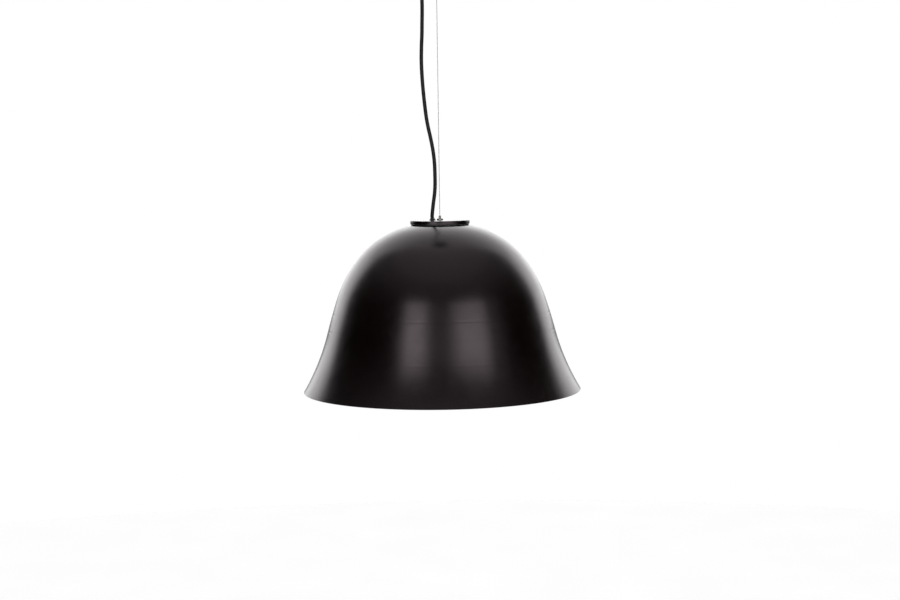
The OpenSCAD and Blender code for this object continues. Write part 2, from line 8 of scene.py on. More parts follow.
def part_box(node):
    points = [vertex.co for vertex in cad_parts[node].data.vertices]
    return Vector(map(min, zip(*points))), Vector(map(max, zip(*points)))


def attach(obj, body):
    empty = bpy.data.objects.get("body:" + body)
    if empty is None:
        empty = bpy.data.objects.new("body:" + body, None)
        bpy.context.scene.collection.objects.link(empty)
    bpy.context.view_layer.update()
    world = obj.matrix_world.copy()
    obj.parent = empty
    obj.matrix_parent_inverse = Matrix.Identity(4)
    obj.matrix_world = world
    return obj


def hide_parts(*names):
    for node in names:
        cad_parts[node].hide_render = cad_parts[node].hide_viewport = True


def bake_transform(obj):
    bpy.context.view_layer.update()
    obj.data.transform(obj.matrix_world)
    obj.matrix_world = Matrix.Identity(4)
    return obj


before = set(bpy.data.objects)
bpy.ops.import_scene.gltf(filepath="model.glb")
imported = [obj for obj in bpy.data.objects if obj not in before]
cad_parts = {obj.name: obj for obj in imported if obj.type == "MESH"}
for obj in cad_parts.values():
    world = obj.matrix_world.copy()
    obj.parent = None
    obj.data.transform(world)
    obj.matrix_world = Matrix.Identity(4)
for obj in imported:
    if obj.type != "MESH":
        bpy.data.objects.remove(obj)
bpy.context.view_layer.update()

MM = 0.001

# ---------------------------------------------------------------- places, from the frame

CAP_LOW, CAP_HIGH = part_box("cap_disc")
CAP_Z = CAP_HIGH.z
SEAT_Z = CAP_LOW.z
CAP_R = CAP_HIGH.x
LIP_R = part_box("shade")[1].x
SHEET_T = 1 * MM
CORD_R = 3 * MM
# Holes through cap and bell: for the gripper, for the cord, and four for the cap's screws
BORE_R = 4 * MM
COLLAR_X = -12 * MM
SCREW_RING = 30 * MM
SCREW_HOLE_R = 2.2 * MM

# The bell's outline as arcs that run on from each other: radius in mm and turn in degrees
BELL_ARCS = [(60, 11.5), (151, 21.9), (136, 16.5), (208, 21.8), (950, 3.5), (380, -15.7)]
SEAT_R = CAP_R - 12 * MM

# The free cord from the cap to the canopy, in mm: x, y and height over the cap
CORD_ROUTE = [
    (-12, 0, 3), (-12.5, 0, 7), (-11.5, 0, 17), (-10, 0.5, 29), (-8, 1, 43), (-7, 1.5, 58),
    (-7, 2, 76), (-7.5, 2, 93), (-9.5, 2, 112), (-13, 1, 132), (-17, 0, 151), (-20, -1, 170),
    (-23, -2, 199), (-25, -2, 226), (-26, -1.5, 254), (-25.5, -1, 278), (-24.5, -0.5, 297),
    (-24, 0, 316), (-23.5, 0, 336), (-23.5, 0, 354), (-23.5, 0, 371),
]
# Heights over the cap where the cord's lower and upper seams are, in mm
LOWER_SEAM = 213
UPPER_SEAM = 333

# Inside the lamp: heights over the cap's top, in mm
WIRE_TAIL = -50.2
BRACKET_FLOOR = -82.8
SLEEVE_TOP = -110.8
BULB_TOP = -114.8
SPRING_LOW = -17.15
SPRING_HIGH = -10.45
# Inside the canopy: heights over the ceiling and the cord's x, in mm
CANOPY_RIM = -28
TERMINAL_Z = -8
CORD_X = -23.5
# The bulb's thread, in mm
THREAD_PITCH = 3.62
THREAD_LEVELS = 60

# How finely round things are drawn
CAP_SIDES = 256
BELL_SIDES = 288
HOLE_SIDES = 32
CORD_SIDES = 24
CORD_RINGS = 241
LEAD_SIDES = 16
SHELL_SIDES = 96

ALONG_Y = Vector((0, 1, 0))

# Most of a noise texture's values lie between these two
NOISE_LOW = 0.3
NOISE_HIGH = 0.7

# Name, azimuth and width in degrees, radiance, lower and upper edge in metres
SOFTBOXES = [
    ("left_outer", -27.5, 29, 1.1, -1.3, 1.05),
    ("left_inner", -26.5, 20, 0.7, -1.3, 0.95),
    ("left_core", -27, 17, 0.9, -0.25, 0.8),
    ("right_outer", 30, 40, 1.2, -1.3, 1.05),
    ("right_inner", 30, 31, 0.9, -1.3, 0.95),
    ("right_core", 31, 27, 1.2, -0.25, 0.8),
    ("centre_fill", -1.5, 27, 0.35, -0.49, 0.9),
    ("centre_low", -1.5, 27, 1.4, -1.41, -0.49),
    ("side_fill", 57, 20, 0.2, -0.49, 0.9),
    ("side_low", 57, 20, 0.7, -1.41, -0.49),
]


def over_cap(x, y, height):
    """A point given in mm over the cap's top, in metres in the frame's axes."""
    return Vector((x * MM, y * MM, CAP_Z + height * MM))


# ---------------------------------------------------------------- camera and light

def make_camera():
    """The camera looks along +Y, a little down and rolled by less than a degree."""
    data = bpy.data.cameras.new("camera")
    data.lens = 69.176
    data.sensor_width = 36
    data.clip_start = 0.05
    data.clip_end = 60
    pitch = math.radians(4.97)
    roll = math.radians(0.8247)
    forward = Vector((0, math.cos(pitch), -math.sin(pitch)))
    level_up = Vector((0, math.sin(pitch), math.cos(pitch)))
    level_right = Vector((1, 0, 0))
    up = level_up * math.cos(roll) + level_right * math.sin(roll)
    right = level_right * math.cos(roll) - level_up * math.sin(roll)
    place = Matrix((right, up, -forward)).transposed().to_4x4()
    place.translation = Vector((0.01447, -2.8, -0.2886))
    camera = bpy.data.objects.new("camera", data)
    camera.matrix_world = place
    bpy.context.scene.collection.objects.link(camera)
    bpy.context.scene.camera = camera


def make_world():
    """White to the camera. Reflections see a white wall behind, a dim ceiling and dark sides."""
    world = bpy.data.worlds.new("studio")
    world.use_nodes = True
    bpy.context.scene.world = world
    strength = 4
    nodes = world.node_tree.nodes
    links = world.node_tree.links
    nodes.clear()

    def math_node(operation, first, second=0.0):
        node = nodes.new("ShaderNodeMath")
        node.operation = operation
        for socket, value in zip(node.inputs, (first, second)):
            if isinstance(value, bpy.types.NodeSocket):
                links.new(value, socket)
            else:
                socket.default_value = value
        return node.outputs[0]

    def brightness(height, stops):
        """Radiance over the strength, against the sine of the elevation."""
        ramp = nodes.new("ShaderNodeValToRGB")
        ramp.color_ramp.interpolation = "EASE"
        elements = ramp.color_ramp.elements
        while len(elements) < len(stops):
            elements.new(0.5)
        for element, (at, level) in zip(elements, stops):
            element.position = at
            share = level / strength
            element.color = (share, share, share, 1)
        links.new(height, ramp.inputs["Fac"])
        return ramp.outputs["Color"]

    direction = nodes.new("ShaderNodeTexCoord").outputs["Generated"]
    split = nodes.new("ShaderNodeSeparateXYZ")
    links.new(direction, split.inputs[0])
    x, y, z = split.outputs
    x_squared = math_node("MULTIPLY", x, x)
    y_squared = math_node("MULTIPLY", y, y)
    level_part = math_node("SQRT", math_node("ADD", x_squared, y_squared))
    facing = math_node("DIVIDE", y, math_node("MAXIMUM", level_part, 0.02))
    behind = nodes.new("ShaderNodeMapRange")
    behind.interpolation_type = "SMOOTHSTEP"
    behind.inputs["From Min"].default_value = 0.5
    behind.inputs["From Max"].default_value = 0.71
    links.new(facing, behind.inputs["Value"])
    lifted = math_node("ADD", z, 0.1)
    wall = brightness(lifted, [
        (0, 0.2), (0.065, 0.2), (0.12, 2.2), (0.44, 2.1), (0.7, 1.3), (0.87, 1.0), (1, 0.75),
    ])
    room = brightness(z, [(0, 0.0), (0.3, 0.0), (0.5, 0.05), (0.72, 0.2), (0.86, 0.42), (1, 0.55)])
    around = nodes.new("ShaderNodeMix")
    around.data_type = "RGBA"
    links.new(behind.outputs["Result"], around.inputs["Factor"])
    links.new(room, around.inputs["A"])
    links.new(wall, around.inputs["B"])
    lit = nodes.new("ShaderNodeBackground")
    lit.inputs["Strength"].default_value = strength
    links.new(around.outputs["Result"], lit.inputs["Color"])
    white = nodes.new("ShaderNodeBackground")
    white.inputs["Color"].default_value = (1, 1, 1, 1)
    seen = nodes.new("ShaderNodeLightPath").outputs["Is Camera Ray"]
    choice = nodes.new("ShaderNodeMixShader")
    links.new(seen, choice.inputs["Fac"])
    links.new(lit.outputs[0], choice.inputs[1])
    links.new(white.outputs[0], choice.inputs[2])
    links.new(choice.outputs[0], nodes.new("ShaderNodeOutputWorld").inputs["Surface"])
    bpy.context.scene.view_settings.view_transform = "Standard"


def make_lights():
    """Two softboxes that are brightest in the middle of their upper half, and weak fills."""
    for softbox in SOFTBOXES:
        make_softbox(*softbox)


def make_softbox(name, azimuth, width_deg, radiance, low, high):
    """A softbox in front of the lamp, azimuth degrees to the right of the camera's side."""
    distance = 2.5
    middle = math.radians(azimuth)
    data = bpy.data.lights.new(name, "AREA")
    data.shape = "RECTANGLE"
    data.size = 2 * distance * math.tan(math.radians(width_deg / 2))
    data.size_y = high - low
    data.energy = radiance * math.pi * data.size * data.size_y
    light = bpy.data.objects.new(name, data)
    aim = Vector((-math.sin(middle), math.cos(middle), 0))
    light.location = Vector((0, 0, (low + high) / 2)) - aim * distance
    light.rotation_euler = aim.to_track_quat("-Z", "Y").to_euler()
    light.visible_camera = False
    bpy.context.scene.collection.objects.link(light)


def make_floor():
    """A white floor far under the lamp."""
    mesh = bpy.data.meshes.new("floor")
    bm = bmesh.new()
    bmesh.ops.create_circle(bm, cap_ends=True, segments=96, radius=7)
    bm.to_mesh(mesh)
    bm.free()
    floor = bpy.data.objects.new("floor", mesh)
    floor.location.z = -2.3
    bpy.context.scene.collection.objects.link(floor)
    finish = Finish("floor_white", 0.75)
    finish.tones(finish.noise(3), (0.86, 0.86, 0.86), (0.9, 0.9, 0.9))
    finish.shader.inputs["Emission Color"].default_value = (1, 1, 1, 1)
    finish.shader.inputs["Emission Strength"].default_value = 0.45
    mesh.materials.append(finish.material)


# ---------------------------------------------------------------- materials

class Finish:
    """A material whose colour, roughness and bump come from textures fixed to the piece."""

    def __init__(self, name, roughness, metallic=0.0):
        self.material = bpy.data.materials.new(name)
        self.material.use_nodes = True
        self.nodes = self.material.node_tree.nodes
        self.links = self.material.node_tree.links
        self.shader = self.nodes["Principled BSDF"]
        self.shader.inputs["Roughness"].default_value = roughness
        self.shader.inputs["Metallic"].default_value = metallic
        self.place = self.nodes.new("ShaderNodeTexCoord").outputs["Object"]
        self.normal = None

    def scaled(self, scale):
        """The place, stretched by a factor along each axis."""
        mapping = self.nodes.new("ShaderNodeMapping")
        mapping.inputs["Scale"].default_value = scale
        self.links.new(self.place, mapping.inputs["Vector"])
        return mapping.outputs["Vector"]

    def noise(self, scale, detail=3.0, place=None):
        """The value of a noise texture, between 0 and 1."""
        node = self.nodes.new("ShaderNodeTexNoise")
        node.inputs["Scale"].default_value = scale
        node.inputs["Detail"].default_value = detail
        self.links.new(place or self.place, node.inputs["Vector"])
        return node.outputs["Fac"]

    def turned(self):
        """A vector of radius from Z, height and nothing: textures on it make rings round Z."""
        split = self.nodes.new("ShaderNodeSeparateXYZ")
        self.links.new(self.place, split.inputs[0])
        level = self.nodes.new("ShaderNodeCombineXYZ")
        self.links.new(split.outputs["X"], level.inputs["X"])
        self.links.new(split.outputs["Y"], level.inputs["Y"])
        radius = self.nodes.new("ShaderNodeVectorMath")
        radius.operation = "LENGTH"
        self.links.new(level.outputs[0], radius.inputs[0])
        rings = self.nodes.new("ShaderNodeCombineXYZ")
        self.links.new(radius.outputs["Value"], rings.inputs["X"])
        self.links.new(split.outputs["Z"], rings.inputs["Y"])
        return rings.outputs[0]

    def tones(self, factor, dark, light):
        """Colour between two tones."""
        ramp = self.nodes.new("ShaderNodeValToRGB")
        ramp.color_ramp.elements[0].position = NOISE_LOW
        ramp.color_ramp.elements[1].position = NOISE_HIGH
        ramp.color_ramp.elements[0].color = (*dark, 1)
        ramp.color_ramp.elements[1].color = (*light, 1)
        self.links.new(factor, ramp.inputs["Fac"])
        self.links.new(ramp.outputs["Color"], self.shader.inputs["Base Color"])

    def rough(self, factor, low, high):
        """Roughness between two values."""
        node = self.nodes.new("ShaderNodeMapRange")
        limits = {"From Min": NOISE_LOW, "From Max": NOISE_HIGH, "To Min": low, "To Max": high}
        for name, value in limits.items():
            node.inputs[name].default_value = value
        self.links.new(factor, node.inputs["Value"])
        self.links.new(node.outputs["Result"], self.shader.inputs["Roughness"])

    def relief(self, height, depth):
        """A bump of a depth in metres, on top of the bumps before it."""
        bump = self.nodes.new("ShaderNodeBump")
        bump.inputs["Distance"].default_value = depth
        self.links.new(height, bump.inputs["Height"])
        if self.normal is not None:
            self.links.new(self.normal, bump.inputs["Normal"])
        self.normal = bump.outputs["Normal"]
        self.links.new(self.normal, self.shader.inputs["Normal"])


def black_paint():
    """Satin lacquer on spun metal: fine rings from the lathe and a faint orange peel."""
    finish = Finish("black_paint", 0.3)
    finish.tones(finish.noise(45, 4), (0.0017, 0.0004, 0.0004), (0.0021, 0.0006, 0.0006))
    finish.rough(finish.noise(60, 4), 0.22, 0.26)
    finish.shader.inputs["Specular Tint"].default_value = (1, 0.85, 0.915, 1)
    finish.shader.inputs["Specular IOR Level"].default_value = 0.55
    finish.relief(finish.noise(520, 5, finish.turned()), 0.03 * MM)
    finish.relief(finish.noise(1400, 2), 0.006 * MM)
    return finish.material


def shade_inside():
    """The same lacquer inside the bell, a little drier."""
    finish = Finish("shade_inside", 0.42)
    finish.tones(finish.noise(50, 4), (0.006, 0.0055, 0.0055), (0.009, 0.008, 0.008))
    finish.rough(finish.noise(70, 4), 0.38, 0.46)
    finish.relief(finish.noise(420, 5, finish.turned()), 0.04 * MM)
    return finish.material


def black_plastic():
    """Moulded plastic with a fine spark-eroded grain."""
    finish = Finish("black_plastic", 0.45)
    finish.tones(finish.noise(90, 4), (0.009, 0.009, 0.009), (0.015, 0.015, 0.015))
    finish.rough(finish.noise(140, 3), 0.38, 0.5)
    finish.relief(finish.noise(3200, 2), 0.012 * MM)
    return finish.material


def cord_sheath():
    """Smooth extruded sheath with drawing marks along its length."""
    finish = Finish("cord_sheath", 0.5)
    finish.tones(finish.noise(70, 4), (0.0035, 0.0033, 0.0033), (0.0055, 0.005, 0.005))
    finish.rough(finish.noise(150, 3, finish.scaled((1, 1, 0.25))), 0.44, 0.54)
    finish.shader.inputs["Specular IOR Level"].default_value = 0.25
    finish.relief(finish.noise(900, 3, finish.scaled((1, 1, 0.05))), 0.02 * MM)
    return finish.material


def core_insulation(name, colour):
    """The coloured insulation of one core."""
    finish = Finish(name, 0.45)
    finish.tones(finish.noise(220, 3), tuple(0.82 * c for c in colour), colour)
    finish.rough(finish.noise(400, 3), 0.38, 0.5)
    finish.relief(finish.noise(1500, 2), 0.01 * MM)
    return finish.material


def earth_insulation():
    """Green insulation with a yellow stripe round it."""
    finish = Finish("core_earth", 0.45)
    wave = finish.nodes.new("ShaderNodeTexWave")
    wave.bands_direction = "DIAGONAL"
    wave.inputs["Scale"].default_value = 70
    wave.inputs["Distortion"].default_value = 0.4
    finish.links.new(finish.place, wave.inputs["Vector"])
    finish.tones(wave.outputs["Fac"], (0.02, 0.2, 0.04), (0.72, 0.6, 0.03))
    finish.rough(finish.noise(400, 3), 0.38, 0.5)
    finish.relief(finish.noise(1500, 2), 0.01 * MM)
    return finish.material


def nickel():
    """Bright nickel on turned brass, with fine turning marks."""
    finish = Finish("nickel", 0.2, 1.0)
    finish.tones(finish.noise(160, 4), (0.2, 0.195, 0.185), (0.26, 0.25, 0.235))
    finish.rough(finish.noise(300, 4), 0.12, 0.2)
    finish.relief(finish.noise(2600, 3, finish.turned()), 0.008 * MM)
    return finish.material


def wire_steel():
    """Drawn stainless strands."""
    finish = Finish("wire_steel", 0.3, 1.0)
    finish.tones(finish.noise(700, 3), (0.56, 0.56, 0.56), (0.7, 0.7, 0.7))
    finish.rough(finish.noise(900, 3), 0.24, 0.36)
    finish.relief(finish.noise(5000, 2), 0.004 * MM)
    return finish.material


def zinc_steel():
    """Zinc-plated sheet and screws: a cloudy, slightly blue grey."""
    finish = Finish("zinc_steel", 0.38, 1.0)
    finish.tones(finish.noise(120, 5), (0.4, 0.42, 0.44), (0.56, 0.58, 0.6))
    finish.rough(finish.noise(200, 4), 0.3, 0.48)
    finish.relief(finish.noise(1800, 4, finish.scaled((1, 0.12, 1))), 0.01 * MM)
    return finish.material


def brass():
    """Turned brass, a little dull."""
    finish = Finish("brass", 0.3, 1.0)
    finish.tones(finish.noise(150, 4), (0.56, 0.38, 0.16), (0.72, 0.52, 0.24))
    finish.rough(finish.noise(260, 4), 0.24, 0.4)
    finish.relief(finish.noise(2200, 3), 0.008 * MM)
    return finish.material


def porcelain():
    """White glaze, a little uneven, with a clear coat."""
    finish = Finish("porcelain", 0.2)
    finish.tones(finish.noise(110, 4), (0.74, 0.72, 0.67), (0.84, 0.83, 0.79))
    finish.rough(finish.noise(200, 3), 0.12, 0.26)
    finish.relief(finish.noise(420, 3), 0.05 * MM)
    finish.shader.inputs["Coat Weight"].default_value = 0.5
    return finish.material


def white_plastic():
    """Moulded white plastic."""
    finish = Finish("white_plastic", 0.4)
    finish.tones(finish.noise(140, 4), (0.76, 0.75, 0.71), (0.84, 0.83, 0.8))
    finish.rough(finish.noise(260, 3), 0.34, 0.48)
    finish.relief(finish.noise(2800, 2), 0.01 * MM)
    return finish.material


def opal_glass():
    """White opal glass, unlit."""
    finish = Finish("opal_glass", 0.16)
    finish.tones(finish.noise(50, 4), (0.82, 0.81, 0.78), (0.87, 0.86, 0.84))
    finish.rough(finish.noise(80, 3), 0.12, 0.22)
    finish.relief(finish.noise(90, 3), 0.04 * MM)
    finish.shader.inputs["Coat Weight"].default_value = 0.3
    return finish.material


def black_glass():
    """The glassy black insulator at the foot of the bulb."""
    finish = Finish("black_glass", 0.1)
    finish.tones(finish.noise(300, 4), (0.008, 0.008, 0.011), (0.02, 0.018, 0.022))
    finish.rough(finish.noise(500, 3), 0.06, 0.2)
    finish.relief(finish.noise(900, 3), 0.03 * MM)
    return finish.material


SLOTS = {
    "black_paint": black_paint(), "black_plastic": black_plastic(), "cord_sheath": cord_sheath(),
    "nickel": nickel(), "wire_steel": wire_steel(), "zinc_steel": zinc_steel(), "brass": brass(),
    "porcelain": porcelain(), "white_plastic": white_plastic(), "opal_glass": opal_glass(),
    "black_glass": black_glass(),
    "core_insulation": core_insulation("core_brown", (0.19, 0.07, 0.03)),
}
CORE_BLUE = core_insulation("core_blue", (0.02, 0.07, 0.34))
CORE_EARTH = earth_insulation()


def dress_frame():
    """Gives each CAD node the finish of its slot."""
    for name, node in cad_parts.items():
        for place in node.material_slots:
            place.material = SLOTS[place.material.name.split(".")[0]]


# ---------------------------------------------------------------- shapes

def add_piece(name, bm, materials, body=None, covers=(), sharp=35):
    """Turns a bmesh into a piece that rides on a body and stands for CAD nodes."""
    bmesh.ops.remove_doubles(bm, verts=bm.verts, dist=1e-7)
    bmesh.ops.recalc_face_normals(bm, faces=bm.faces)
    mesh = bpy.data.meshes.new(name)
    bm.to_mesh(mesh)
    bm.free()
    for material in materials:
        mesh.materials.append(material)
    mesh.shade_smooth()
    mesh.set_sharp_from_angle(angle=math.radians(sharp))
    piece = bpy.data.objects.new(name, mesh)
    bpy.context.scene.collection.objects.link(piece)
    if body:
        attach(piece, body)
    if covers:
        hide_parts(*covers)
    return piece


def smooth_route(points, rings):
    """A Catmull-Rom curve through points, as a list of rings points."""
    last = len(points) - 1
    route = []
    for k in range(rings):
        at = k * last / (rings - 1)
        i = min(int(at), last - 1)
        u = at - i
        a, b, c, d = (points[max(0, min(last, i + step))] for step in (-1, 0, 1, 2))
        route.append(0.5 * (
            2 * b + (c - a) * u + (2 * a - 5 * b + 4 * c - d) * u ** 2
            + (3 * b - a - 3 * c + d) * u ** 3
        ))
    return route


def tube_rings(route, radius, sides, across=ALONG_Y):
    """Rings of points round a route; across is a direction that it never runs in."""
    rings = []
    for i, point in enumerate(route):
        heading = (route[min(i + 1, len(route) - 1)] - route[max(i - 1, 0)]).normalized()
        u = across.cross(heading).normalized()
        v = heading.cross(u)
        rings.append([
            point + radius * (math.cos(a) * u + math.sin(a) * v)
            for a in (2 * math.pi * k / sides for k in range(sides))
        ])
    return rings


def skin(bm, rings, closed_ends=True, closed_loop=False):
    """Faces between rings of points, which all have as many points."""
    loops = [[bm.verts.new(point) for point in ring] for ring in rings]
    pairs = list(zip(loops, loops[1:]))
    if closed_loop:
        pairs.append((loops[-1], loops[0]))
    for low, high in pairs:
        for k in range(len(low)):
            n = (k + 1) % len(low)
            bm.faces.new((low[k], low[n], high[n], high[k]))
    if closed_ends and not closed_loop:
        bm.faces.new(reversed(loops[0]))
        bm.faces.new(loops[-1])
    return loops


def revolve(bm, profile, segments, closed_loop=True):
    """Faces of a profile of (radius, z) turned round Z."""
    rings = [
        [Vector((r * math.cos(a), r * math.sin(a), z))
         for a in (2 * math.pi * k / segments for k in range(segments))]
        for r, z in profile
    ]
    return skin(bm, rings, closed_ends=False, closed_loop=closed_loop)


# ---------------------------------------------------------------- cords and wire

def make_power_cord():
    """Three stretches of one cord, cut at two seams."""
    route = smooth_route([over_cap(*point) for point in CORD_ROUTE], CORD_RINGS)
    rings = tube_rings(route, CORD_R, CORD_SIDES)

    def ring_at(height):
        return min(range(len(route)), key=lambda i: abs(route[i].z - (CAP_Z + height * MM)))

    cuts = [0, ring_at(LOWER_SEAM), ring_at(UPPER_SEAM), len(route) - 1]
    stretches = [
        ("power_cord_lower", "lamp", "wire"),
        ("power_cord_middle", "wire", "swivel_link"),
        ("power_cord_upper", "swivel_link", "ceiling_mount"),
    ]
    for (name, low_body, high_body), first, last in zip(stretches, cuts, cuts[1:]):
        bm = bmesh.new()
        skin(bm, rings[first:last + 1])
        piece = add_piece(name, bm, [SLOTS["cord_sheath"]], covers=["power_cord"])
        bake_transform(piece)


def make_wire():
    """A rope of six strands laid round a straight one."""
    low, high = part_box("suspension_wire")
    strands = 6
    strand_sides = 6
    radius = high.x
    strand_r = radius / 3
    lay_r = 2 * strand_r * 0.98
    lay_length = 9 * MM
    steps_a_turn = 14
    height = high.z - low.z
    steps = round(height / lay_length * steps_a_turn)
    bm = bmesh.new()
    line = [Vector((0, 0, low.z + height * k / steps)) for k in range(steps + 1)]
    skin(bm, tube_rings([line[0], line[-1]], strand_r, strand_sides))
    for strand in range(strands):
        phase = 2 * math.pi * strand / strands
        rings = []
        for k, centre in enumerate(line):
            a = phase + 2 * math.pi * k / steps_a_turn
            axis = centre + lay_r * Vector((math.cos(a), math.sin(a), 0))
            rings.append([
                axis + strand_r * Vector((math.cos(b), math.sin(b), 0))
                for b in (a + 2 * math.pi * j / strand_sides for j in range(strand_sides))
            ])
        skin(bm, rings)
    piece = add_piece("wire_rope", bm, [SLOTS["wire_steel"]], body="wire",
                      covers=["suspension_wire"], sharp=70)


# ---------------------------------------------------------------- shade

def bell_profile(inset, step):
    """The bell's side as (radius, z) from the seat to the lip, inset by a thickness."""
    plain = bell_walk(1.0, 0.0, 0.0, 0.0, 1.0)[-1]
    scale = (LIP_R - SEAT_R) / (plain[0] * MM)
    return bell_walk(scale, SEAT_R / MM, SEAT_Z / MM, inset / MM, step)


def bell_walk(scale, r, z, inset, step):
    """Points in mm along the arcs, about step mm apart."""
    points = [(r, z - inset)]
    heading = 0.0
    for radius, turn_deg in BELL_ARCS:
        side = 1 if turn_deg > 0 else -1
        big = radius * scale
        turn = math.radians(turn_deg)
        centre_r = r - side * big * math.sin(heading)
        centre_z = z - side * big * math.cos(heading)
        steps = max(2, round(abs(turn) * big / step))
        for k in range(1, steps + 1):
            a = heading + turn * k / steps
            drawn = big - side * inset
            points.append((centre_r + side * drawn * math.sin(a), centre_z + side * drawn * math.cos(a)))
        heading += turn
        r = centre_r + side * big * math.sin(heading)
        z = centre_z + side * big * math.cos(heading)
    return points


def lathe_marks(profile):
    """Sinks a profile, in mm, where the spinning tool paused: height under the cap, and depth."""
    pauses = {-96: 0.03, -149: 0.09, -176: 0.09, -214: 0.03}
    spread = 1.3
    marked = []
    for i, (r, z) in enumerate(profile):
        height = z - CAP_Z / MM
        sunk = sum(depth * math.exp(-((height - at) / spread) ** 2) for at, depth in pauses.items())
        before = profile[max(i - 1, 0)]
        after = profile[min(i + 1, len(profile) - 1)]
        run = Vector((after[0] - before[0], after[1] - before[1])).normalized()
        marked.append((r + run.y * sunk, z - run.x * sunk))
    return marked


def drill(bm, top_rim, low_rim, holes):
    """Closes the two round ends of a revolved body, with round holes through both."""
    walls = []
    for rim in (top_rim, low_rim):
        edges = [bm.edges.get((a, b)) for a, b in zip(rim, rim[1:] + rim[:1])]
        rings = []
        for x, y, r in holes:
            ring = [
                bm.verts.new((x + r * math.cos(a), y + r * math.sin(a), rim[0].co.z))
                for a in (2 * math.pi * k / HOLE_SIDES for k in range(HOLE_SIDES))
            ]
            edges += [bm.edges.new(pair) for pair in zip(ring, ring[1:] + ring[:1])]
            rings.append(ring)
        bmesh.ops.triangle_fill(bm, use_beauty=True, edges=edges, normal=(0, 0, 1))
        walls.append(rings)
    for top, low in zip(*walls):
        for k in range(HOLE_SIDES):
            n = (k + 1) % HOLE_SIDES
            bm.faces.new((top[k], top[n], low[n], low[k]))


def make_cap():
    """The turned cap, with rounded edges and holes for gripper and cord, and a thin black ring under its
    rim that paints the shadow line between cap and bell.
    """
    shadow_ring_t = 0.7 * MM
    shadow_ring_width = 8 * MM
    shadow_ring_r = CAP_R - 0.6 * MM
    edge = 0.9 * MM
    edge_steps = 6
    profile = []
    for k in range(edge_steps + 1):
        a = math.pi / 2 * (1 - k / edge_steps)
        profile.append((CAP_R - edge * (1 - math.cos(a)), CAP_Z - edge * (1 - math.sin(a))))
    for r, z in reversed(list(profile)):
        profile.append((r, CAP_Z + SEAT_Z + shadow_ring_t - z))
    # This thin black ring under the cap's rim is no real part: it paints the dark shadow line between
    # cap and bell.
    shadow_ring = bmesh.new()
    revolve(shadow_ring, [
        (shadow_ring_r - shadow_ring_width, SEAT_Z), (shadow_ring_r, SEAT_Z), (shadow_ring_r, SEAT_Z + shadow_ring_t),
        (shadow_ring_r - shadow_ring_width, SEAT_Z + shadow_ring_t),
    ], CAP_SIDES)
    add_piece("cap_shadow_ring", shadow_ring, [SLOTS["black_plastic"]], body="lamp",
              covers=["cap_disc"])
    bm = bmesh.new()
    loops = revolve(bm, profile, CAP_SIDES, closed_loop=False)
    drill(bm, loops[0], loops[-1], [(0, 0, BORE_R), (COLLAR_X, 0, BORE_R)])
    cap = add_piece("turned_cap", bm, [SLOTS["black_paint"]], body="lamp",
                    covers=["cap_disc"], sharp=50)
    # the photographed bell is bright right up to the cap, without the cap's dark reflection
    cap.visible_glossy = False


def make_shade():
    """One spun sheet: outside, rounded lip, inside, and a flat top with its holes."""
    lip_steps = 8
    lip_bulge = 0.35
    outer = [(r * MM, z * MM) for r, z in lathe_marks(bell_profile(0, 1))]
    inner = [(r * MM, z * MM) for r, z in bell_profile(SHEET_T, 4)]
    (r0, z0), (r1, z1) = outer[-1], inner[-1]
    lip = []
    centre = Vector(((r0 + r1) / 2, (z0 + z1) / 2))
    arm = Vector((r0, z0)) - centre
    for k in range(1, lip_steps):
        spoke = Matrix.Rotation(-math.pi * k / lip_steps, 2) @ arm
        lip.append(tuple(centre + lip_bulge * spoke))
    bm = bmesh.new()
    loops = revolve(bm, outer + lip + list(reversed(inner)), BELL_SIDES, closed_loop=False)
    inside_from = len(outer) + len(lip) // 2
    holes = [(0, 0, BORE_R), (COLLAR_X, 0, BORE_R)]
    for k in range(4):
        a = math.pi / 2 * k
        holes.append((SCREW_RING * math.cos(a), SCREW_RING * math.sin(a), SCREW_HOLE_R))
    drill(bm, loops[0], loops[-1], holes)
    bm.verts.index_update()
    inside = set()
    for loop in loops[inside_from:]:
        inside.update(vert.index for vert in loop)
    for face in bm.faces:
        face.material_index = 1 if all(vert.index in inside for vert in face.verts) else 0
    add_piece("bell_shade", bm, [SLOTS["black_paint"], shade_inside()], body="lamp",
              covers=["shade"], sharp=50)


# ---------------------------------------------------------------- cords inside the lamp

def make_lead(name, points, radius, across, material, body, cad_node):
    """One round core or cord through points in metres; its radius is in mm."""
    rings_a_point = 12
    route = smooth_route(points, rings_a_point * len(points) + 1)
    bm = bmesh.new()
    skin(bm, tube_rings(route, radius * MM, LEAD_SIDES, across))
    add_piece(name, bm, [material], body=body, covers=[cad_node], sharp=60)


def make_sheathed_ends():
    """The cord inside the lamp, and its end inside the canopy."""
    tail = WIRE_TAIL
    route = [
        (-12, 0, 2.4), (-12, 0, -14), (-12, 0, tail + 20), (-11.6, 0, tail + 10),
        (-9.5, 0, tail + 2), (-6, 0, tail - 6), (-2.5, 0, tail - 14), (-0.4, 0, tail - 22),
        (0, 0, tail - 32), (0, 0, BRACKET_FLOOR - 7),
    ]
    make_lead("cord_in_lamp", [over_cap(*point) for point in route], 2.98, ALONG_Y,
              SLOTS["cord_sheath"], "lamp", "inner_cord")
    rim = CANOPY_RIM * MM
    end = [Vector((CORD_X * MM, 0, rim + height * MM)) for height in (-3, 2, 7, 11)]
    make_lead("cord_in_canopy", end, 3, ALONG_Y, SLOTS["cord_sheath"], "ceiling_mount", "cord_tail")


